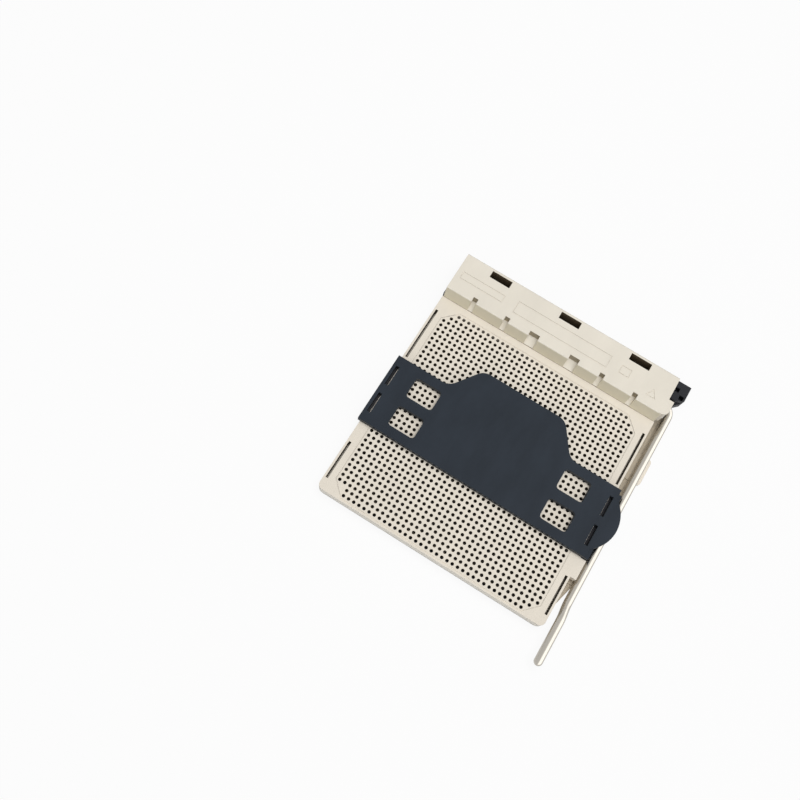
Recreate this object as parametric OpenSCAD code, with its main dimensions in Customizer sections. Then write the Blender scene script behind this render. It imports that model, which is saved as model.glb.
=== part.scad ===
// Zero-insertion-force processor socket for a pin grid array, with a lever, a sliding
// cover and the clip-on cap that a placement machine lifts it by. Millimetres.
// X points to the lever side, Y to the cam head, Z up from the circuit board.
// The origin is the centre of the solder ball grid, on the board.

/* [Contact grid] */
// Distance between neighbouring contacts
pitch = 1; // [0.9:0.05:1.2]
// Rows and columns of the full square grid, an odd number
grid_n = 39; // [33:2:39]
// Rows and columns left out in the middle, an odd number
centre_n = 13; // [9:2:17]
// Contacts left out along each edge at a corner
corner_n = 2; // [1:1:3]
// Diameter of a pin hole in the cover
pin_hole_d = 0.56; // [0.45:0.01:0.62]
// Diameter of a contact cavity in the base
cavity_d = 0.72; // [0.62:0.01:0.8]
// Diameter of a solder ball
ball_d = 0.56; // [0.4:0.01:0.6]
// Width of a contact blade
contact_w = 0.5; // [0.35:0.01:0.56]
// Thickness of a contact blade
contact_t = 0.24; // [0.1:0.01:0.3]

/* [Base] */
// Height of the base's underside over the board
standoff = 0.4; // [0.3:0.05:0.6]
// Thickness of the base under the pin field
base_t = 1.7; // [1.4:0.1:2.4]
// Base beyond the outer contacts, at the sides
side_margin = 1.6; // [1.4:0.1:2.4]
// Base beyond the outer contacts, at the handle end
end_margin = 1.9; // [1.6:0.1:3]
// Solid edge between the middle window and the nearest contact
window_land = 0.95; // [0.7:0.05:1.2]
// Distance from the outer contacts to the front of the cross bar
bar_gap = 2.2; // [2:0.1:4]
// Depth of the cross bar, front to back
bar_depth = 8.1; // [7.9:0.1:9]
// Height of the cross bar's inner ridge over the base
ridge_h = 1; // [0.6:0.1:1.4]
// Diameter of the stand-off posts at the corners
post_d = 0.6; // [0.4:0.05:0.7]

/* [Cover] */
// Thickness of the cover over the pin field
cover_t = 1.2; // [0.9:0.1:1.8]
// Thickness of the cover's side skirts
skirt_t = 0.9; // [0.6:0.05:1.2]
// How far the closed cover has slid towards the handle end
slide = 0.95; // [0.6:0.05:1.1]
// Height of the cam head over the pin field
head_h = 3.2; // [2.6:0.1:4.5]
// Depth of the cam head, front to back
head_depth = 8.15; // [7.8:0.05:9]
// Wall of the cam head
head_wall = 1.1; // [0.8:0.05:1.3]
// Running clearance between cover and base
gap = 0.1; // [0.05:0.01:0.2]
// Width of the long slots in the side rims
rim_slot_w = 0.45; // [0.3:0.05:0.5]
// Depth of the recess that frames the pin field
field_recess = 0.08; // [0.04:0.01:0.2]

/* [Lever] */
// Diameter of the lever wire
wire_d = 1.5; // [1.2:0.1:1.6]
// Distance from the cover's side to the middle of the long arm
arm_gap = 1.9; // [1.7:0.1:2.6]
// Distance from the front of the cross bar to the lever's axis
axis_set = 3.3; // [3:0.1:3.6]
// Height of the long arm and the axis over the board
arm_z = 1.85; // [1.8:0.05:2.2]
// Reach of the handle beyond the cover
handle_reach = 5.65; // [3:0.05:14]
// Radius of the bend from the axis to the arm
bend_r = 1.9; // [1.5:0.1:2.2]
// Rise of the handle over the arm
handle_rise = 1.45; // [1:0.05:3]
// Throw of the crank inside the head
crank_throw = 0.85; // [0.5:0.05:1]
// Length of the crank's offset stretch
crank_len = 24; // [16:1:26]

/* [Placement cap] */
// Thickness of the cap
cap_t = 1.2; // [0.8:0.1:1.6]
// Depth of the cap's cross band
band_depth = 13.3; // [12.5:0.1:14]
// Reach of the cap's bulge towards the head
bulge_y = 12.25; // [10:0.05:14]
// Width of the bulge's straight front edge
bulge_w = 13.6; // [10:0.1:16]
// Width of the bulge where it leaves the band
bulge_foot_w = 26.6; // [24:0.1:30]
// Slope of the bulge's sides, in degrees
bulge_slope = 55; // [50:1:60]
// Radius of the finger tab over the lever
tab_r = 6.3; // [5.6:0.1:6.4]
// Thickness of the clip legs
clip_t = 0.4; // [0.3:0.05:0.45]

/* [Hidden] */
fine = 32;
over = 1; // how far a cut runs past the face it opens
half_n = (grid_n - 1) / 2;
half_centre = (centre_n - 1) / 2;
field = half_n * pitch; // centre to the outer contact
base_half_w = field + side_margin;
base_top = standoff + base_t;
cover_top = base_top + cover_t;
skirt_in = base_half_w + gap;
cover_half_w = skirt_in + skirt_t;
skirt_z = standoff + gap;
window_half = half_centre * pitch + pitch - window_land;
window_half_d = window_half - 0.15;
window_set = 0.25; // the base's window lies this far towards the handle end
line_w = 0.14; // engraved lines
line_deep = 0.12;

// Rows that a row index keeps, as [column, row] places in pitches
function in_centre(i, j) = abs(i) <= half_centre && abs(j) <= half_centre;
function in_corner(i, j, cut) = abs(i) + abs(j) > 2 * half_n - cut;
function row_of(j, cut) = [
    for (i = [-half_n:half_n]) if (!in_centre(i, j) && !in_corner(i, j, cut)) [i, j]
];
function grid(cut) = [for (j = [-half_n:half_n]) each row_of(j, cut)];
// The handle end's left corner loses a full square, so that a processor fits one way only
function is_key(p) = p[0] < -half_n + corner_n && p[1] < -half_n + corner_n;
function keyed(places) = [for (p = places) if (!is_key(p)) p];
// The base and the cover are each drawn in two halves, which meet between two rows of holes
split_y = pitch / 2;
function half_of(places, head_end) = [for (p = places) if (head_end == (p[1] * pitch > split_y)) p];
function corner_places() = [
    for (i = [-half_n, -half_n + 1, half_n - 1, half_n], j = [-half_n, -half_n + 1, half_n - 1, half_n])
        if (in_corner(i, j, corner_n)) [i, j]
];

// Base
base_end_y = -(field + end_margin);
bar_y = field + bar_gap;
lip_t = 0.35; // floor that the cover's end wall slides over
end_wall_t = 0.8;
bar_back_y = bar_y + bar_depth;
bar_left_x = cover_half_w + 0.3;
arm_x = cover_half_w + arm_gap;
axis_y = bar_y + axis_set;
ear_x = arm_x + 1; // outer side of the ear that shields the lever's bend
ear_y = bar_y + 5.1; // where the ear's slanted side ends
ear_inner_x = arm_x - 1.2;
ear_foot_y = axis_y - 0.4;
notch_w = 3.85;
notch_x = 14.1;
notch_depth = 2.9;
pad_w = 9.7;
pad_x = 7.15;
pad_depth = 3.2;
pad_bevel = 0.4;
pocket_w = 1.3;
pocket_y = field + 1; // front of the row of mould pockets
pocket_len = 1.1;
pocket_deep = 0.5;
pocket_step = 2.4;
pockets = floor((base_half_w - pocket_w) / pocket_step); // on each side of the middle one
ridge_front_y = bar_y + 1.3;
ridge_back_y = bar_y + 5.6;
ridge_half_w = cover_half_w - head_wall - 0.5;
wire_gap = 0.06;
wire_r = wire_d / 2;
channel_r = wire_r + wire_gap;
wear_t = 0.35; // thickness of the wear plates
pusher_y = axis_y - crank_throw - channel_r - wear_t; // front of the plate that the crank pushes
ledge_z = standoff + 0.6; // underside of the ledges that the cover's hooks reach under
crank_floor = standoff + 0.3;
gate_line_y = bar_y + 2.1; // engraved line across the bar's underside
ear_cut = 1.6; // how far the ear's top stands back from its foot
ear_pocket = 0.85;
ear_pockets = [[0.45, 2.1], [1.75, 3.2]]; // from the head's side and from the bar's back

// Cover, in its own frame: the pin field's centre is at Y 0
cover_end_y = -(field + 1);
head_y = field + 2;
corner_r = 1;
head_back_y = head_y + head_depth;
head_top = cover_top + head_h;
head_rake = 0.45; // lean of the head's front wall
head_edge = 0.15;
head_half_w = cover_half_w - 0.15;
lobe_r = 1.2;
lobe_x = head_half_w + 1;
lobe_y = head_y + 0.5 + lobe_r;
field_edge = 0.7; // from the outer hole to the recess's edge
field_chamfer = 2.5;
hook_t = 0.75;
head_window_w = 4;
head_window_d = 1.35;
slot_x = base_half_w + 0.4;
slot_sink = 0.8; // depth of the rim slots into the skirts
notch_list = [[4, 1.9], [9.5, 0.93], [16, 0.93]]; // distance from the middle and width
front_notch_run = 1.4; // depth and rise of a front notch's sloping floor
front_notch_rise = 1.56;
seam = 0.2; // the skirts stop this short of the head
mark_deep = 0.08;
mark_y = head_y + 3.9;
marks = [[-16.2, 8.6, 1.5], [0, 18.8, 2.5], [12.6, 2, 1.6]]; // middle, width and depth of each frame
corner_mark_x = 18.4;

// Lever
jog_r = 3;
jog_angle = 28;
jog_straight = (handle_rise - 2 * jog_r * (1 - cos(jog_angle))) / sin(jog_angle);
jog_run = 2 * jog_r * sin(jog_angle) + jog_straight * cos(jog_angle);
handle_len = 7.7;
crank_r = 1;
crank_angle = 40;
crank_straight = (crank_throw - 2 * crank_r * (1 - cos(crank_angle))) / sin(crank_angle);
crank_run = 2 * crank_r * sin(crank_angle) + crank_straight * cos(crank_angle);
journal_end_x = -(crank_len / 2 + crank_run + 4);
handle_y = cover_end_y - slide - handle_reach;
handle_z = arm_z + handle_rise;
jog_y = handle_y + handle_len; // where the handle starts down to the arm

// Cap, in the cover's frame
band_half = band_depth / 2;
band_x = cover_half_w + gap / 2 + clip_t;
cap_top = cover_top + cap_t;
bulge_dx = (bulge_foot_w - bulge_w) / 2;
bulge_dy = bulge_y - band_half;
bulge_r = (bulge_dx * sin(bulge_slope) - bulge_dy * cos(bulge_slope)) / (2 * (1 - cos(bulge_slope)));
cap_window_w = 5.05;
cap_window_d = 3.87;
cap_window_x = cover_half_w - 6.82;
cap_window_y = 2.93;
cap_window_r = 0.6;
clip_w = 3.9;
clip_y = 2.85;
hook_len = 0.65;
hook_w = 2;
hook_y = 3.2;
rest_r = 0.7; // corners of the ledges under the arm
rest_top = arm_z - wire_r - gap / 2;
// Start, length and reach of each ledge
rests = [[band_half + 3.45, 5.3, 3.3], [-band_half - 4.35, 5.1, 2.8]];
block_y = -band_half - gap; // end of the latch block, beside the cap
block_len = 3.65;
latch_slot = [arm_x - wire_r, arm_x + 0.35]; // slot through the second ledge
rim_slots = [[band_half + 0.85, field - 0.9], [-field + 1.1, -band_half - 3.95]];
clip_slot = [skirt_in + 0.1, skirt_in + 0.75];
lugs = [[band_half - 2.2, band_half - 0.8], [-band_half, -band_half + 2.6]];
lug_top = cap_top - 0.3;
flange_d = 2.4; // depth of the wear plate's flange under the head's roof

module at(x, y, z = 0) translate([x, y, z]) children();
module cover_frame() translate([0, -slide, 0]) children();
module both_sides() {
    children();
    mirror([1, 0, 0]) children();
}
// A block between two corners
module block(low, high) translate(low) cube(high - low);
// A plan outline raised between two heights
module raised(z0, z1) translate([0, 0, z0]) linear_extrude(z1 - z0) children();
// A profile drawn in Y and Z, carried along X
module along_x(x0, x1) translate([x0, 0, 0]) rotate([90, 0, 90]) linear_extrude(x1 - x0) children();
module rounded_rect(w, d, r) {
    square([w - 2 * r, d], center = true);
    square([w, d - 2 * r], center = true);
    for (x = [-1, 1], y = [-1, 1]) translate([x * (w / 2 - r), y * (d / 2 - r)]) circle(r, $fn = fine);
}
module drill(places, d, z0, z1)
    for (p = places) at(p[0] * pitch, p[1] * pitch, z0) cylinder(d = d, h = z1 - z0, $fn = fine);

// The half of the space on one side of the split
module half_space(head_end)
    block([-3 * field, head_end ? split_y : -3 * field, -field],
        [3 * field, head_end ? 3 * field : split_y, field]);
// Base under the pin field, with one cavity for each contact
module base_plate_head_end() base_plate(true);
module base_plate_handle_end() base_plate(false);
module base_plate(head_end) color("#2f343c") difference() {
    intersection() {
        union() {
            block([-base_half_w, base_end_y + end_wall_t + gap, standoff], [base_half_w, bar_y, base_top]);
            block([-base_half_w, base_end_y, standoff], [base_half_w, bar_y, standoff + lip_t]);
            drill(corner_places(), post_d, 0, base_top / 2);
        }
        half_space(head_end);
    }
    drill(half_of(keyed(grid(corner_n)), head_end), cavity_d, standoff - over, base_top + over);
    base_window();
    if (head_end) mould_pockets();
}
// Middle window, which clears the parts that stand on the board inside the socket
module base_window()
    block([-window_half, -window_half_d - window_set, -over],
        [window_half, window_half_d - window_set, base_top + over]);
// Shallow pockets along the bar's foot, which keep the wall even
module mould_pockets()
    for (n = [-pockets:pockets]) block([n * pocket_step - pocket_w / 2, pocket_y, standoff - over],
        [n * pocket_step + pocket_w / 2, pocket_y + pocket_len, standoff + pocket_deep]);

// Thick cross bar that carries the lever, with the ear that shields its bend
module base_cross_bar() color("#2b3037") {
    difference() {
        union() {
            raised(standoff, base_top) bar_outline();
            raised(standoff, cover_top) ear_outline();
            along_x(-ridge_half_w, ridge_half_w) ridge_profile();
            for (s = [-1, 1]) at(s * pad_x, bar_back_y - pad_depth) standoff_pad();
        }
        for (n = [-1:1]) at(n * notch_x, bar_back_y) back_notch();
        lever_channel();
        base_wear_plate();
        ear_pockets();
        block([-bar_left_x + over, gate_line_y, standoff - over],
            [base_half_w, gate_line_y + line_w, standoff + line_deep]);
    }
}
module bar_outline() polygon([
    [-bar_left_x, bar_y], [base_half_w, bar_y], [base_half_w, ear_foot_y], [ear_inner_x, ear_foot_y],
    [ear_x, ear_y], [ear_x, bar_back_y], [-bar_left_x, bar_back_y]
]);
module ear_outline() polygon([
    [head_half_w + gap, ear_foot_y + ear_cut], [ear_inner_x + ear_cut / 2, ear_foot_y + ear_cut - line_w],
    [ear_x, ear_y], [ear_x, bar_back_y], [head_half_w + gap, bar_back_y]
]);
module ridge_profile() polygon([
    [ridge_front_y, base_top], [ridge_front_y + 0.3, base_top + ridge_h],
    [ridge_back_y - 0.3, base_top + ridge_h], [ridge_back_y, base_top]
]);
// Pad with bevelled edges that stands on the board beside a notch
module standoff_pad() translate([-pad_w / 2, 0, 0]) along_x(0, pad_w) polygon([
    [pad_bevel, 0], [pad_depth - pad_bevel, 0], [pad_depth, standoff], [pad_depth, standoff + 0.2],
    [0, standoff + 0.2], [0, standoff]
]);
// Notch for a hook of the cover, with a ledge inside for its lip
module back_notch() {
    block([-notch_w / 2, -notch_depth, -over], [notch_w / 2, over, ledge_z]);
    block([-notch_w / 2, -notch_depth + slide, -over], [notch_w / 2, over, base_top + over]);
}
// Bearing channel, open at the top, wide enough in the middle for the crank to swing
module lever_channel() {
    lid = base_top + ridge_h + over;
    translate([journal_end_x - gap, axis_y, arm_z]) rotate([0, 90, 0])
        cylinder(r = channel_r, h = ear_x + over - journal_end_x, $fn = fine);
    block([journal_end_x - gap, axis_y - channel_r, arm_z], [ear_x + over, axis_y + channel_r, lid]);
    block([-crank_len / 2 - crank_run, pusher_y - gap, crank_floor],
        [crank_len / 2 + crank_run, axis_y + channel_r, lid]);
}
// Square pockets in the ear's top, which keep its wall even
module ear_pockets()
    for (p = ear_pockets) at(head_half_w + gap + p[0], bar_back_y - p[1])
        block([0, 0, base_top], [ear_pocket, ear_pocket, cover_top + over]);

// Sliding cover over the pin field, with the side skirts that hold it to the base
module cover_plate_head_end() cover_plate(true);
module cover_plate_handle_end() cover_plate(false);
module cover_plate(head_end) color("#e6e0d2") difference() {
    cover_frame() intersection() {
        union() {
            raised(base_top, cover_top) cover_outline();
            raised(standoff + lip_t + gap, base_top) skirt_outline();
            both_sides() block([skirt_in, cover_end_y + corner_r, skirt_z],
                [cover_half_w, head_y - seam, standoff + lip_t + gap]);
            for (r = rests) lever_rest(r[0], r[0] + r[1], r[2]);
            block([skirt_in, block_y - block_len, skirt_z], [arm_x - wire_r - gap, block_y, cover_top]);
        }
        half_space(head_end);
    }
    cover_frame() {
        drill(half_of(keyed(grid(corner_n)), head_end), pin_hole_d, base_top - over, cover_top + over);
        cover_window();
        field_groove();
        both_sides() rim_slots();
        if (!head_end) block([latch_slot[0], block_y - block_len + 2 * clip_t, -over],
            [latch_slot[1], block_y - clip_t, base_top]);
    }
}
module cover_outline() difference() {
    polygon([
        [-cover_half_w, cover_end_y], [cover_half_w, cover_end_y],
        [cover_half_w, head_y], [-cover_half_w, head_y]
    ]);
    both_sides() translate([cover_half_w, cover_end_y]) difference() {
        square(2 * corner_r, center = true);
        translate([-corner_r, corner_r]) circle(corner_r, $fn = fine);
    }
}
// The skirts and the end wall, around the base
module skirt_outline() difference() {
    cover_outline();
    translate([-skirt_in, cover_end_y + end_wall_t - gap]) square([2 * skirt_in, 3 * field]);
    translate([-2 * skirt_in, head_y - seam]) square([4 * skirt_in, field]);
}
// Flat ledge under the long arm, from one place along the skirt to another
module lever_rest(y0, y1, reach) raised(standoff, rest_top) {
    translate([skirt_in, y0]) square([skirt_t + reach - rest_r, y1 - y0]);
    translate([cover_half_w + reach - 2 * rest_r, y0 + rest_r]) square([2 * rest_r, y1 - y0 - 2 * rest_r]);
    for (y = [y0 + rest_r, y1 - rest_r])
        translate([cover_half_w + reach - rest_r, y]) circle(rest_r, $fn = fine);
}
module cover_window() block([-window_half + window_set, -window_half - line_w, base_top - over],
    [window_half - window_set, window_half + line_w, cover_top + over]);
// Line that frames the pin field, cut across at the corners
module field_groove() {
    e = field + field_edge;
    raised(cover_top - field_recess, cover_top + over) difference() {
        chamfered(e, field_chamfer);
        chamfered(e - line_w, field_chamfer - line_w / 2);
    }
}
module chamfered(e, c) polygon([
    [-e + c, -e], [e - c, -e], [e, -e + c], [e, e - c], [e - c, e], [-e + c, e], [-e, e - c], [-e, -e + c]
]);
module rim_slots() for (y = rim_slots)
    block([slot_x - rim_slot_w / 2, y[0], base_top - slot_sink],
        [slot_x + rim_slot_w / 2, y[1], cover_top + over]);

// Raised head of the cover, over the lever's crank
module cover_cam_head() color("#e6e0d2") cover_frame() {
    difference() {
        union() {
            along_x(-head_half_w, head_half_w) head_profile();
            raised(arm_z + wire_r + gap, head_top) lobe_outline();
            for (n = [-1:1]) at(n * notch_x, head_back_y) hook_tab();
        }
        head_hollow();
        for (n = [-1:1]) at(n * notch_x, head_back_y - 0.5)
            block([-head_window_w / 2, -head_window_d, ledge_z - gap],
                [head_window_w / 2, 0, head_top + over]);
        both_sides() for (n = notch_list) at(n[0], head_y) front_notch(n[1]);
        head_marks();
    }
}
module head_profile() polygon([
    [head_y, base_top], [head_y, cover_top], [head_y + head_rake, head_top - head_edge],
    [head_y + head_rake + head_edge, head_top], [head_back_y - head_edge, head_top],
    [head_back_y, head_top - head_edge], [head_back_y, base_top]
]);
// Round lobe over the lever's bend
module lobe_outline() {
    translate([lobe_x - lobe_r, lobe_y]) circle(lobe_r, $fn = fine);
    translate([head_half_w - lobe_r, lobe_y]) square([lobe_x - head_half_w + lobe_r, 1.9]);
}
// Tab through a notch of the base, with a lip that holds the cover down
module hook_tab() {
    w = notch_w / 2 - gap;
    block([-w, -hook_t, standoff], [w, 0, base_top]);
    block([-w, -notch_depth + slide + 2 * gap, standoff], [w, 0, ledge_z - gap]);
}
module head_hollow() {
    x = head_half_w - head_wall;
    block([-x, head_y + head_rake + head_wall, base_top - over],
        [x, head_back_y - head_wall, head_top - head_wall]);
    block([x - over, axis_y + slide - wire_d, base_top - over],
        [head_half_w + over, axis_y + slide + wire_d, arm_z + wire_r + gap]);
}
// Moulded notch in the head's front wall, with a sloping floor
module front_notch(w) along_x(-w / 2, w / 2) polygon([
    [-over, cover_top], [0, cover_top], [front_notch_run, cover_top + front_notch_rise],
    [front_notch_run, head_top + over], [-over, head_top + over]
]);
// Shallow frames and a corner mark, engraved in the head's top
module head_marks() raised(head_top - mark_deep, head_top + over) {
    for (m = marks) frame(m[0], mark_y, m[1], m[2]);
    translate([corner_mark_x, head_y + head_depth / 3]) difference() {
        triangle(1);
        triangle(0.7);
    }
}
module triangle(r) rotate(90) circle(r * 1.1, $fn = 3);
module frame(x, y, w, d) translate([x, y]) difference() {
    square([w, d], center = true);
    square([w - 2 * line_w, d - 2 * line_w], center = true);
}

// Lever: one steel wire, bent into a handle, a long arm, a bend and a crank
module lever() color("#c9cbc9") swept(concat(handle_tip(), [for (p = lever_path()) [p, wire_r]]));
// Rings that close the handle's end in a dome: [middle of the ring, its radius]
function handle_tip() = [
    for (a = [5, 25, 45, 65]) [[arm_x, handle_y + wire_r * (1 - cos(a)), handle_z], wire_r * sin(a)]
];
// Middle of the wire, from the handle to the end of the inner journal
function lever_path() = let (
    jog = s_bend(jog_y, handle_z, jog_r, jog_angle, jog_straight, -1),
    crank_in = s_bend(-crank_len / 2 - crank_run, -axis_y, crank_r, crank_angle, crank_straight, 1),
    crank_out = s_bend(crank_len / 2, -axis_y + crank_throw, crank_r, crank_angle, crank_straight, -1)
) concat(
    [[arm_x, handle_y + wire_r, handle_z]],
    [for (p = jog) [arm_x, p[0], p[1]]],
    [for (a = [0:15:90]) [arm_x - bend_r * (1 - cos(a)), axis_y - bend_r * (1 - sin(a)), arm_z]],
    [for (p = concat(crank_in, crank_out)) [-p[0], -p[1], arm_z]],
    [[journal_end_x, axis_y, arm_z]]
);
// Two equal bends with a straight between them, which shift a line sideways
function s_bend(u, v, r, angle, straight, side) = let (
    step = angle / 3,
    du = 2 * r * sin(angle) + straight * cos(angle),
    dv = 2 * r * (1 - cos(angle)) + straight * sin(angle)
) concat(
    [for (a = [0:step:angle]) [u + r * sin(a), v + side * r * (1 - cos(a))]],
    [for (a = [angle:-step:0]) [u + du - r * sin(a), v + side * (dv - r * (1 - cos(a)))]]
);
// Solid through round rings that stand square to the line through their middles
module swept(rings) {
    n = len(rings);
    last = n - 1;
    sides = 16;
    points = [for (k = [0:last])
        each ring(rings[k], rings[min(k + 1, last)][0] - rings[max(k - 1, 0)][0], sides)];
    walls = [for (k = [0:last - 1], i = [0:sides - 1]) let (j = (i + 1) % sides)
        [k * sides + i, k * sides + j, (k + 1) * sides + j, (k + 1) * sides + i]];
    ends = [[for (i = [sides - 1:-1:0]) i], [for (i = [0:sides - 1]) last * sides + i]];
    polyhedron(points, concat(walls, ends));
}
function ring(r, along, sides) = let (
    t = along / norm(along),
    u = cross(t, [0, 0, 1]) / norm(cross(t, [0, 0, 1])),
    v = cross(t, u)
) [for (i = [0:sides - 1]) r[0] + r[1] * (cos(360 * i / sides) * u + sin(360 * i / sides) * v)];

// Clip-on cap that covers the middle of the pin field
module placement_cap() color("#343a44") cover_frame() {
    difference() {
        raised(cover_top, cap_top) cap_outline();
        both_sides() for (s = [-1, 1]) at(cap_window_x, s * cap_window_y)
            raised(cover_top - over, cap_top + over) rounded_rect(cap_window_w, cap_window_d, cap_window_r);
        both_sides() for (s = [-1, 1]) at(0, s * clip_y, cover_top - over)
            block([clip_slot[0], -clip_w / 2, 0], [clip_slot[1], clip_w / 2, cap_t + 2 * over]);
    }
    both_sides() for (s = [-1, 1]) clip_leg(s);
    for (y = lugs)
        block([band_x - clip_t, y[0], arm_z + wire_r + gap], [arm_x - wire_r - gap, y[1], lug_top]);
}
module cap_outline() {
    square([2 * band_x, band_depth], center = true);
    bulge_outline();
    translate([arm_x + 1 - tab_r, 0]) circle(tab_r, $fn = 2 * fine);
}
function arc(c, r, a0, a1, n = 8) = [
    for (k = [0:n]) let (a = a0 + (a1 - a0) * k / n) c + r * [cos(a), sin(a)]
];
module bulge_outline() {
    crest = arc([bulge_w / 2, bulge_y - bulge_r], bulge_r, 90, 90 - bulge_slope);
    foot = arc([bulge_foot_w / 2, band_half + bulge_r], bulge_r, 270 - bulge_slope, 270);
    side = concat(crest, foot, [[bulge_foot_w / 2, 0]]);
    polygon(concat(side, [for (k = [len(side) - 1:-1:0]) [-side[k][0], side[k][1]]]));
}
// Leg outside a skirt, with a hook that reaches under it
module clip_leg(s) {
    x = cover_half_w + gap / 2;
    block([x, s * clip_y - clip_w / 2, skirt_z - clip_t], [x + clip_t, s * clip_y + clip_w / 2, cover_top]);
    block([x - hook_len, s * hook_y - hook_w / 2, skirt_z - clip_t],
        [x, s * hook_y + hook_w / 2, skirt_z - gap / 2]);
}

// Hard steel strip in the bar, which the crank bears on
module base_wear_plate() color("#a9adb0")
    block([-crank_len / 2, axis_y + channel_r, crank_floor],
        [crank_len / 2, axis_y + channel_r + wear_t, base_top + ridge_h]);
// Angled steel strip under the head's roof, which the crank pushes the cover by
module cover_wear_plate() color("#a9adb0") {
    w = crank_len / 2 - gap;
    roof = head_top - head_wall;
    block([-w, pusher_y, ledge_z], [w, pusher_y + wear_t, roof]);
    block([-w, pusher_y, roof - wear_t], [w, pusher_y + flange_d, roof]);
}

module solder_balls() color("#d8dadb") drill(keyed(grid(corner_n)), ball_d, 0, standoff + 0.05);
// Contact blades of one row, each on its ball in its cavity
module contact_row(n) color("#c9a24a") for (p = keyed(row_of(n - half_n - 1, corner_n)))
    at(p[0] * pitch, p[1] * pitch) block([-contact_w / 2, -contact_t / 2, standoff + 0.05],
        [contact_w / 2, contact_t / 2, base_top - 0.2]);

base_plate_head_end();
base_plate_handle_end();
base_cross_bar();
cover_plate_head_end();
cover_plate_handle_end();
cover_cam_head();
lever();
placement_cap();
base_wear_plate();
cover_wear_plate();
solder_balls();
for (n = [1:grid_n]) contact_row(n);
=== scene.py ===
import math
import bpy
import numpy as np
from mathutils import Euler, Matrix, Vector


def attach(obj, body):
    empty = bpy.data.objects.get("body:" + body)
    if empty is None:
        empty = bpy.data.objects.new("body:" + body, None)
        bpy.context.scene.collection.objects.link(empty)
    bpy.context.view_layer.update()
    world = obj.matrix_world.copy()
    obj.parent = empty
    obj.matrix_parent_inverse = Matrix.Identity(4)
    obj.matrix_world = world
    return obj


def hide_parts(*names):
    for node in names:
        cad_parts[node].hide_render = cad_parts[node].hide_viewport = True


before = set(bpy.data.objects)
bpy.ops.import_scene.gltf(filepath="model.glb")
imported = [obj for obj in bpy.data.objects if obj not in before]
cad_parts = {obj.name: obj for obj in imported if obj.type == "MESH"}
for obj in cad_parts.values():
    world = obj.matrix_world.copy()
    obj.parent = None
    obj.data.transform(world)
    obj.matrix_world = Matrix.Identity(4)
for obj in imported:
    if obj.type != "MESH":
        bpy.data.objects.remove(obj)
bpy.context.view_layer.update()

# Lengths are in millimetres where MM turns them into metres, and in metres elsewhere
MM = 0.001
SLIDE = 0.95  # the cover's frame stands this far towards the handle end

# The grid of contacts, in steps of 1 mm: its half, the middle window's half, the cut corners
# and the keyed corner
GRID_HALF, MIDDLE_HALF, CORNER_SUM, KEY_EDGE = 19, 6, 36, -17

# ---------------------------------------------------- light and shade painted by place
# Ranges in the cover's frame in millimetres, with the colour painted there for light or shade.
# side is the distance from the middle line, up is the normal's Z, window is the distance from a
# head window's middle.

COVER_TOP = 3.3
# painted shade: a dark ring around each pin hole, its radius and colour
HOLE_SHADE_R, HOLE_SHADE = 0.305, (0.075, 0.06, 0.045)
HEAD_WINDOW_X = 14.1  # from one window of the head to the next
UPRIGHT = (-0.2, 0.2)

FIELD_PAINTED_LIGHT_AND_SHADE = (
    # painted shade: walls of the pin holes and of the rim slots, darkened as if in shade
    (dict(up=UPRIGHT, side=(-1, 21.3), y=(-19.1, 19.1)), (0.1, 0.08, 0.05)),
    # painted shade: the strip and flange under the lever's arm, tinted taupe as in the wire's
    # shadow
    (dict(x=(21.61, 23.2), y=(-16, 24), z=(0, 1.6)), (0.47, 0.41, 0.32)),
    # painted shade: the cover's top under the cap's slots, near black as in the slots' shade
    (dict(side=(21.02, 21.6), y=(-5, 5), z=(3.2, 3.4)), (0.02, 0.02, 0.024)),
    # painted light: the end wall at the handle end, lightened to look brightly lit
    (dict(up=UPRIGHT, y=(-20.5, -19.5), side=(-1, 22)), (0.95, 0.9, 0.8)),
)
HEAD_PAINTED_LIGHT_AND_SHADE = (
    # painted shade: the front wall, in a warmer tone that copies its look in shade
    (dict(up=(-0.2, 0.4), y=(20.9, 21.6), side=(-1, 21.4)), (0.78, 0.72, 0.56)),
    # painted light: ramps of the notches, lightened to look lit from above
    (dict(up=(0.5, 0.8), y=(20.9, 22.5)), (0.88, 0.83, 0.73)),
    # painted shadow line along the foot of the head's front wall
    (dict(y=(20.9, 21.1), z=(3.2, 3.39), side=(-1, 21.4)), (0.22, 0.17, 0.11)),
    # painted shade: backs of the notches
    (dict(up=UPRIGHT, y=(22.2, 22.6), z=(4.8, 6.45), side=(-1, 18)), (0.36, 0.31, 0.22)),
    # painted shade: insides of the head's windows
    (dict(y=(27.2, 28.75), z=(0, 6.47), window=(-1, 2.05)), (0.17, 0.125, 0.075)),
)

# ------------------------------------------------------------------ materials
FLOW = dict(scale=260.0, detail=5.0, rough=0.6, stretch=(1.0, 0.45, 1.0))  # marks in plastic
ETCH = dict(scale=9000.0, detail=2.0, rough=0.5)  # grain of the mould's surface
DRAWN = dict(scale=2600.0, detail=3.0, rough=0.6)  # lines in metal
ROUGH_LOW, ROUGH_HIGH = 0.8, 1.3  # metal's roughness varies between these times its own


def new_material(name):
    mat = bpy.data.materials.new(name)
    mat.use_nodes = True
    tree = mat.node_tree
    return mat, tree.nodes, tree.links, tree.nodes["Principled BSDF"]


def add(nodes, kind, **inputs):
    """A new node with its properties and inputs set; an underscore stands for a space."""
    node = nodes.new(kind)
    for key, value in inputs.items():
        if hasattr(node, key):
            setattr(node, key, value)
        else:
            node.inputs[key.replace("_", " ")].default_value = value
    return node


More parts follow.
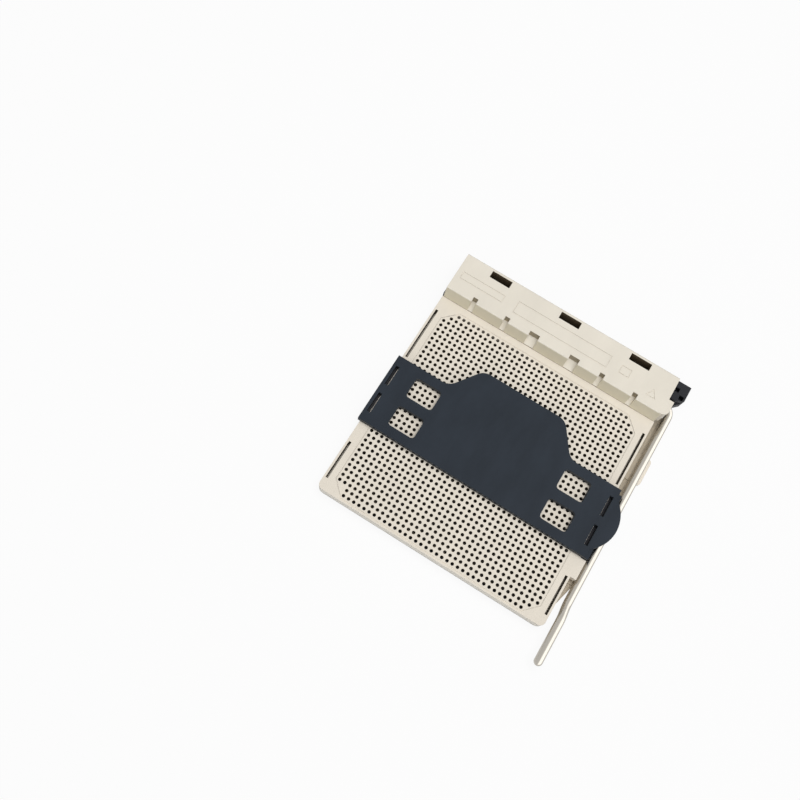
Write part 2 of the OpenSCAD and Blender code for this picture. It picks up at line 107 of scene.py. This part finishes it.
def noise(nodes, links, scale, detail, rough, stretch=None):
    """A noise from 0 to 1 over the object, stretched along its axes."""
    coords = nodes.new("ShaderNodeTexCoord")
    tex = add(nodes, "ShaderNodeTexNoise", Scale=scale, Detail=detail, Roughness=rough)
    if stretch:
        mapping = add(nodes, "ShaderNodeMapping", Scale=stretch)
        links.new(coords.outputs["Object"], mapping.inputs["Vector"])
        links.new(mapping.outputs["Vector"], tex.inputs["Vector"])
    else:
        links.new(coords.outputs["Object"], tex.inputs["Vector"])
    return tex.outputs["Fac"]


def ramp(nodes, links, source, stops):
    """The source's level turned into a colour by the ramp's stops."""
    node = nodes.new("ShaderNodeValToRGB")
    band = node.color_ramp
    while len(band.elements) < len(stops):
        band.elements.new(0.5)
    for element, (place, colour) in zip(band.elements, stops):
        element.position = place
        element.color = (*colour, 1.0)
    links.new(source, node.inputs["Fac"])
    return node.outputs["Color"]


def tones(colour, vary, low, high):
    """Two stops of a ramp: the colour a little darker and a little lighter."""
    dark = tuple(min(1.0, c * (1 - vary)) for c in colour)
    light = tuple(min(1.0, c * (1 + vary)) for c in colour)
    return [(low, dark), (high, light)]


def spread_over(nodes, links, source, low, high, start=0.0, end=1.0):
    """The source's range from start to end, spread from low to high."""
    spread = add(nodes, "ShaderNodeMapRange", From_Min=start, From_Max=end)
    spread.inputs["To Min"].default_value = low
    spread.inputs["To Max"].default_value = high
    links.new(source, spread.inputs["Value"])
    return spread.outputs["Result"]


def calc(nodes, links, operation, *values):
    """One math node, fed with numbers or with other nodes' outputs."""
    node = add(nodes, "ShaderNodeMath", operation=operation)
    for socket, value in zip(node.inputs, values):
        if isinstance(value, (int, float)):
            socket.default_value = value
        else:
            links.new(value, socket)
    return node.outputs[0]


def product(nodes, links, tests):
    """1 where every test is 1."""
    out = tests[0]
    for test in tests[1:]:
        out = calc(nodes, links, "MULTIPLY", out, test)
    return out


def local(nodes, links):
    """The point's place in the cover's frame, and how far its face looks up."""
    place = nodes.new("ShaderNodeSeparateXYZ")
    links.new(nodes.new("ShaderNodeTexCoord").outputs["Object"], place.inputs[0])
    at = {axis: calc(nodes, links, "MULTIPLY_ADD", place.outputs[axis.upper()], 1 / MM, shift)
          for axis, shift in (("x", 0.0), ("y", SLIDE), ("z", 0.0))}
    at["side"] = calc(nodes, links, "ABSOLUTE", at["x"])
    normal = nodes.new("ShaderNodeSeparateXYZ")
    links.new(nodes.new("ShaderNodeNewGeometry").outputs["True Normal"], normal.inputs[0])
    at["up"] = normal.outputs["Z"]
    step = calc(nodes, links, "ROUND", calc(nodes, links, "DIVIDE", at["x"], HEAD_WINDOW_X))
    off = calc(nodes, links, "MULTIPLY_ADD", step, -HEAD_WINDOW_X, at["x"])
    at["window"] = calc(nodes, links, "ABSOLUTE", off)
    return at


def inside(nodes, links, at, ranges):
    """1 where every named measure lies in its range."""
    return product(nodes, links, [
        calc(nodes, links, "COMPARE", at[key], (low + high) / 2, (high - low) / 2)
        for key, (low, high) in ranges.items()
    ])


def hole_shade(nodes, links, at):
    """The pin holes' rims: a narrow ring of shade around each place of the grid."""
    near = {axis: calc(nodes, links, "ROUND", at[axis]) for axis in "xy"}
    off = {axis: calc(nodes, links, "SUBTRACT", at[axis], near[axis]) for axis in "xy"}
    far = {axis: calc(nodes, links, "ABSOLUTE", near[axis]) for axis in "xy"}
    squares = [calc(nodes, links, "MULTIPLY", off[axis], off[axis]) for axis in "xy"]
    apart = calc(nodes, links, "ADD", *squares)
    corner = calc(nodes, links, "ADD", far["x"], far["y"])
    farther = calc(nodes, links, "MAXIMUM", far["x"], far["y"])
    key = calc(nodes, links, "MAXIMUM", near["x"], near["y"])
    return product(nodes, links, [
        calc(nodes, links, "LESS_THAN", apart, HOLE_SHADE_R ** 2),
        calc(nodes, links, "LESS_THAN", corner, CORNER_SUM + 0.5),
        calc(nodes, links, "LESS_THAN", farther, GRID_HALF + 0.5),
        calc(nodes, links, "GREATER_THAN", farther, MIDDLE_HALF + 0.5),
        calc(nodes, links, "GREATER_THAN", key, KEY_EDGE - 0.5),
        calc(nodes, links, "GREATER_THAN", at["z"], COVER_TOP - 0.1),
    ])


# painted light and shade: a mask and its painted colour for each listed place
def painted_light_and_shade_at(nodes, links, at, parts):
    return [(inside(nodes, links, at, ranges), colour) for ranges, colour in parts]


def field_painted_light_and_shade(nodes, links, at):
    holes = [(hole_shade(nodes, links, at), HOLE_SHADE)]
    return holes + painted_light_and_shade_at(nodes, links, at, FIELD_PAINTED_LIGHT_AND_SHADE)


def head_painted_light_and_shade(nodes, links, at):
    return painted_light_and_shade_at(nodes, links, at, HEAD_PAINTED_LIGHT_AND_SHADE)


def plastic(name, colour, vary, rough, grain=0.000006, specular=0.5, edge=0.0, painted_light_and_shade_of=None):
    """Moulded plastic: soft flow marks, a fine etched grain, edges with a small radius, and colours
    painted by place for light and shade where given.
    """
    mat, nodes, links, bsdf = new_material(name)
    flow = noise(nodes, links, **FLOW)
    surface = ramp(nodes, links, flow, tones(colour, vary, low=0.3, high=0.7))
    # painted light and shade: each mask lays its colour over the plastic's own
    for mask, painted in painted_light_and_shade_of(nodes, links, local(nodes, links)) if painted_light_and_shade_of else []:
        mix = add(nodes, "ShaderNodeMix", data_type="RGBA")
        links.new(mask, mix.inputs["Factor"])
        links.new(surface, mix.inputs[6])
        mix.inputs[7].default_value = (*painted, 1.0)
        surface = mix.outputs[2]
    links.new(surface, bsdf.inputs["Base Color"])
    etch = noise(nodes, links, **ETCH)
    links.new(spread_over(nodes, links, etch, *rough), bsdf.inputs["Roughness"])
    bump = add(nodes, "ShaderNodeBump", Strength=0.5, Distance=grain)
    links.new(etch, bump.inputs["Height"])
    if edge:
        round_edge = add(nodes, "ShaderNodeBevel", samples=4, Radius=edge)
        links.new(round_edge.outputs["Normal"], bump.inputs["Normal"])
    links.new(bump.outputs["Normal"], bsdf.inputs["Normal"])
    bsdf.inputs["Specular IOR Level"].default_value = specular
    return mat


def metal(name, colour, rough, lines=(1.0, 1.0, 1.0), vary=0.06, relief=0.000002):
    """Drawn or rolled metal: fine lines along one direction and a slight tone change."""
    mat, nodes, links, bsdf = new_material(name)
    drawn = noise(nodes, links, stretch=lines, **DRAWN)
    tone = ramp(nodes, links, drawn, tones(colour, vary, low=0.25, high=0.75))
    links.new(tone, bsdf.inputs["Base Color"])
    roughness = spread_over(nodes, links, drawn, rough * ROUGH_LOW, rough * ROUGH_HIGH)
    links.new(roughness, bsdf.inputs["Roughness"])
    bump = add(nodes, "ShaderNodeBump", Strength=0.4, Distance=relief)
    links.new(drawn, bump.inputs["Height"])
    links.new(bump.outputs["Normal"], bsdf.inputs["Normal"])
    bsdf.inputs["Metallic"].default_value = 1.0
    return mat


IVORY = plastic("ivory_lcp", (0.765, 0.715, 0.62), 0.035, (0.45, 0.6),
                edge=0.00007, painted_light_and_shade_of=head_painted_light_and_shade)
IVORY_FIELD = plastic("ivory_lcp_field", (0.765, 0.705, 0.61), 0.035, (0.45, 0.6),
                      edge=0.00004, painted_light_and_shade_of=field_painted_light_and_shade)
CAP = plastic("cap_slate", (0.021, 0.027, 0.036), 0.14, (0.42, 0.55), 0.000008, 0.2, 0.0001)
BASE = plastic("base_lcp", (0.017, 0.021, 0.028), 0.12, (0.4, 0.52), specular=0.22)
BAR = plastic("bar_lcp", (0.014, 0.015, 0.018), 0.12, (0.38, 0.5), specular=0.25, edge=0.0001)
STEEL = metal("lever_steel", (0.6, 0.565, 0.505), 0.2, (1.0, 0.06, 1.0))
WEAR = metal("wear_steel", (0.52, 0.52, 0.51), 0.32, (0.05, 1.0, 1.0))
SOLDER = metal("solder", (0.72, 0.72, 0.73), 0.24)
GILT = metal("contact_gilt", (0.5, 0.38, 0.2), 0.3, (1.0, 1.0, 0.1))

LOOKS = {  # how a CAD node's name starts, and its material
    "base_plate": BASE,
    "base_cross_bar": BAR,
    "cover_plate": IVORY_FIELD,
    "cover_cam_head": IVORY,
    "lever": STEEL,
    "placement_cap": CAP,
    "base_wear_plate": WEAR,
    "cover_wear_plate": WEAR,
    "solder_balls": SOLDER,
    "contact": GILT,
}
for name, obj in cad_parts.items():
    obj.data.materials.clear()
    obj.data.materials.append(next(look for start, look in LOOKS.items() if name.startswith(start)))

# --------------------------------------------------------------------- pieces


def add_mesh(name, verts, faces, look, smooth=False):
    mesh = bpy.data.meshes.new(name)
    mesh.from_pydata(verts, [], faces)
    mesh.materials.append(look)
    mesh.update()
    if smooth:
        mesh.shade_smooth()
    obj = bpy.data.objects.new(name, mesh)
    bpy.context.collection.objects.link(obj)
    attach(obj, "root")
    return obj


# The lever's wire, on the route of its solid
WIRE_R, WIRE_SIDES = 0.75, 32
ARM_X, ARM_Z, AXIS_Y = 23.5, 1.85, 24.5
HANDLE_Y, HANDLE_Z = -26.6, 3.3
JOG_Y, JOG_R, JOG_ANGLE = -18.9, 3.0, math.radians(28)
BEND_R, BEND_STEPS = 1.9, 14
THROW, CRANK_LEN, CRANK_R, CRANK_ANGLE = 0.85, 24.0, 1.0, math.radians(40)
JOURNAL_LEN = 4
TIP_FROM, TIP_TO, TIP_STEPS = 0.05, 1.45, 7


def s_bend(u, v, r, angle, rise, side, steps=8):
    """Two arcs that bring a route sideways by rise, and how far along they take it."""
    straight = (rise - 2 * r * (1 - math.cos(angle))) / math.sin(angle)
    du = 2 * r * math.sin(angle) + straight * math.cos(angle)
    out = []
    for a in np.linspace(0, angle, steps):
        out.append((u + r * math.sin(a), v + side * r * (1 - math.cos(a))))
    for a in np.linspace(angle, 0, steps):
        out.append((u + du - r * math.sin(a), v + side * (rise - r * (1 - math.cos(a)))))
    return out, du


jog, _ = s_bend(JOG_Y, HANDLE_Z, JOG_R, JOG_ANGLE, HANDLE_Z - ARM_Z, -1)
_, run = s_bend(0, 0, CRANK_R, CRANK_ANGLE, THROW, 1)
first, _ = s_bend(-CRANK_LEN / 2 - run, -AXIS_Y, CRANK_R, CRANK_ANGLE, THROW, 1)
second, _ = s_bend(CRANK_LEN / 2, -AXIS_Y + THROW, CRANK_R, CRANK_ANGLE, THROW, -1)

rings = []  # each ring's centre and radius; the first ones round the tip
for a in np.linspace(TIP_FROM, TIP_TO, TIP_STEPS):
    centre = (ARM_X, HANDLE_Y + WIRE_R * (1 - math.cos(a)), HANDLE_Z)
    rings.append((centre, WIRE_R * math.sin(a)))
path = [(ARM_X, HANDLE_Y + WIRE_R, HANDLE_Z)] + [(ARM_X, y, z) for y, z in jog]
for a in np.linspace(0, math.pi / 2, BEND_STEPS):
    x, y = ARM_X - BEND_R * (1 - math.cos(a)), AXIS_Y - BEND_R * (1 - math.sin(a))
    path.append((x, y, ARM_Z))
path += [(-u, -v, ARM_Z) for u, v in first + second]
path += [(-(CRANK_LEN / 2 + run + JOURNAL_LEN), AXIS_Y, ARM_Z)]
rings += [(p, WIRE_R) for p in path]

verts, faces = [], []
centres = [Vector(p) for p, _ in rings]
for k, (p, r) in enumerate(rings):
    along = (centres[min(k + 1, len(rings) - 1)] - centres[max(k - 1, 0)]).normalized()
    u = along.cross(Vector((0, 0, 1))).normalized()
    v = along.cross(u)
    for i in range(WIRE_SIDES):
        a = 2 * math.pi * i / WIRE_SIDES
        verts.append((Vector(p) + r * (math.cos(a) * u + math.sin(a) * v)) * MM)
for k in range(len(rings) - 1):
    here, ahead = k * WIRE_SIDES, (k + 1) * WIRE_SIDES
    for i in range(WIRE_SIDES):
        j = (i + 1) % WIRE_SIDES
        faces.append((here + i, ahead + i, ahead + j, here + j))
faces.append(tuple(range(WIRE_SIDES)))
faces.append(tuple((len(rings) - 1) * WIRE_SIDES + i for i in reversed(range(WIRE_SIDES))))
wire = add_mesh("lever_wire", verts, faces, STEEL, True)
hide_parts("lever")

# Low sloping flange along the skirt, under the arm, between the ledges. It takes IVORY_FIELD, whose
# painted shade of the strip under the arm darkens it.
SKIRT_X, FLANGE_W = 21.6, 1.5
FLANGE_BOTTOM, FLANGE_LIP, FLANGE_KNEE, FLANGE_TOP = 0.55, 0.65, 0.9, 1.5
KNEE_OUT = 0.4  # the knee's share of the width
FLANGES = (  # from Y, to Y in the cover's frame, and the width at the first end
    (15.4, 23.6, FLANGE_W),
    (6.8, 10.1, FLANGE_W),
    (-15.6, -11.0, 0.3),
)
verts, faces = [], []
for low, high, end_w in FLANGES:
    n = len(verts)
    for y, w in ((low, end_w), (high, FLANGE_W)):
        section = [
            (SKIRT_X, FLANGE_BOTTOM),
            (SKIRT_X + w, FLANGE_BOTTOM),
            (SKIRT_X + w, FLANGE_LIP),
            (SKIRT_X + w * KNEE_OUT, FLANGE_KNEE),
            (SKIRT_X, FLANGE_TOP),
        ]
        verts += [(x * MM, (y - SLIDE) * MM, z * MM) for x, z in section]
    m = len(section)
    for k in range(m):
        j = (k + 1) % m
        faces.append((n + k, n + j, n + m + j, n + m + k))
    faces.append(tuple(n + k for k in reversed(range(m))))
    faces.append(tuple(n + m + k for k in range(m)))
add_mesh("skirt_flange", verts, faces, IVORY_FIELD)

# Round solder balls on the grid's places
BALL_R, TURNS, LEVELS = 0.28, 10, 5


def on_grid(i, j):
    in_middle = abs(i) <= MIDDLE_HALF and abs(j) <= MIDDLE_HALF
    in_key = i < KEY_EDGE and j < KEY_EDGE
    return not (in_middle or in_key or abs(i) + abs(j) > CORNER_SUM)


ball = [(0, 0, -BALL_R)]
for level in range(1, LEVELS + 1):
    a = math.pi * level / (LEVELS + 1)
    for t in range(TURNS):
        b = 2 * math.pi * t / TURNS
        across = BALL_R * math.sin(a)
        ball.append((across * math.cos(b), across * math.sin(b), -BALL_R * math.cos(a)))
ball.append((0, 0, BALL_R))
ball_faces = [(0, 1 + (t + 1) % TURNS, 1 + t) for t in range(TURNS)]
for level in range(LEVELS - 1):
    for t in range(TURNS):
        a, b = 1 + level * TURNS + t, 1 + level * TURNS + (t + 1) % TURNS
        ball_faces.append((a, b, b + TURNS, a + TURNS))
last, top = 1 + (LEVELS - 1) * TURNS, len(ball) - 1
ball_faces += [(top, last + t, last + (t + 1) % TURNS) for t in range(TURNS)]

verts, faces = [], []
steps = range(-GRID_HALF, GRID_HALF + 1)
for i, j in [(i, j) for j in steps for i in steps if on_grid(i, j)]:
    n = len(verts)
    verts += [((x + i) * MM, (y + j) * MM, (z + BALL_R) * MM) for x, y, z in ball]
    faces += [tuple(n + k for k in f) for f in ball_faces]
balls = add_mesh("solder_ball_grid", verts, faces, SOLDER, True)
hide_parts("solder_balls")

# --------------------------------------------------------- stage and lighting
FLOOR_HALF, FLOOR_DROP, FLOOR_GREY = 1.5, 0.00005, 0.6
FLOOR_GLOW, FLOOR_SEEN, FLOOR_MIRRORED = 1.03, 0.88, 0.5  # the glow, and its share by kind of ray
SKY_LEVEL, SKY_SLOPES = 0.36, (("X", 0.3), ("Y", -0.2), ("Z", 0.14))
SIDE_RANGE, SIDE_LEVELS = (0.08, 0.4), (0.74, 1.85)  # what metal mirrors, brighter towards +X
KEY_AT, KEY_SIZE, KEY_POWER = (0.02, 0.03, 0.42), (0.26, 0.2), 1.03
CAMERA_AT, CAMERA_TURN = (-0.00386, -0.04616, 0.15007), (17.347, -4.625, 31.54)
LENS, SENSOR, CLIP_START = 40.5, 36.0, 0.001


def mix_shaders(nodes, links, share, one, other, output):
    """The output shows one shader, and the other by its share."""
    mix = nodes.new("ShaderNodeMixShader")
    links.new(share, mix.inputs[0])
    links.new(one.outputs[0], mix.inputs[1])
    links.new(other.outputs[0], mix.inputs[2])
    links.new(mix.outputs[0], nodes[output].inputs["Surface"])


h = FLOOR_HALF
floor_mesh = bpy.data.meshes.new("floor")
floor_mesh.from_pydata([(-h, -h, 0), (h, -h, 0), (h, h, 0), (-h, h, 0)], [], [(0, 1, 2, 3)])
floor = bpy.data.objects.new("floor", floor_mesh)
floor.location.z = -FLOOR_DROP
bpy.context.collection.objects.link(floor)
mat, nodes, links, bsdf = new_material("floor_white")
nodes.remove(bsdf)
diffuse = add(nodes, "ShaderNodeBsdfDiffuse", Color=(FLOOR_GREY, FLOOR_GREY, FLOOR_GREY, 1))
glow = add(nodes, "ShaderNodeEmission", Color=(1, 1, 1, 1), Strength=FLOOR_GLOW)
ray = nodes.new("ShaderNodeLightPath").outputs
mirrored = calc(nodes, links, "MULTIPLY", ray["Is Glossy Ray"], FLOOR_MIRRORED)
share = calc(nodes, links, "MULTIPLY_ADD", ray["Is Camera Ray"], FLOOR_SEEN, mirrored)
mix_shaders(nodes, links, share, diffuse, glow, "Material Output")
floor.data.materials.append(mat)

world = bpy.data.worlds.new("studio")
bpy.context.scene.world = world
world.use_nodes = True
nodes, links = world.node_tree.nodes, world.node_tree.links
sky = nodes["Background"]
sky.inputs["Color"].default_value = (1, 1, 1, 1)
white = add(nodes, "ShaderNodeBackground", Color=(1, 1, 1, 1), Strength=1.0)
axes = nodes.new("ShaderNodeSeparateXYZ")
links.new(nodes.new("ShaderNodeTexCoord").outputs["Generated"], axes.inputs[0])
level = SKY_LEVEL
for axis, slope in SKY_SLOPES:
    level = calc(nodes, links, "MULTIPLY_ADD", axes.outputs[axis], slope, level)
mirrored = spread_over(nodes, links, axes.outputs["X"], *SIDE_LEVELS, *SIDE_RANGE)
gain = calc(nodes, links, "SUBTRACT", mirrored, level)
ray = nodes.new("ShaderNodeLightPath").outputs
strength = calc(nodes, links, "MULTIPLY_ADD", gain, ray["Is Glossy Ray"], level)
links.new(strength, sky.inputs["Strength"])
mix_shaders(nodes, links, ray["Is Camera Ray"], sky, white, "World Output")

key_data = bpy.data.lights.new("key", "AREA")
key_data.shape = "RECTANGLE"
key_data.size, key_data.size_y = KEY_SIZE
key_data.energy = KEY_POWER
key = bpy.data.objects.new("key", key_data)
bpy.context.collection.objects.link(key)
key.visible_glossy = False
key.location = KEY_AT
key.rotation_euler = (-Vector(KEY_AT)).to_track_quat("-Z", "Y").to_euler()  # aimed at the origin

camera_data = bpy.data.cameras.new("camera")
camera_data.sensor_width = SENSOR
camera_data.lens = LENS
camera_data.clip_start = CLIP_START
camera = bpy.data.objects.new("camera", camera_data)
bpy.context.collection.objects.link(camera)
camera.location = CAMERA_AT
camera.rotation_euler = Euler([math.radians(a) for a in CAMERA_TURN])
bpy.context.scene.camera = camera
bpy.context.scene.view_settings.view_transform = "Standard"
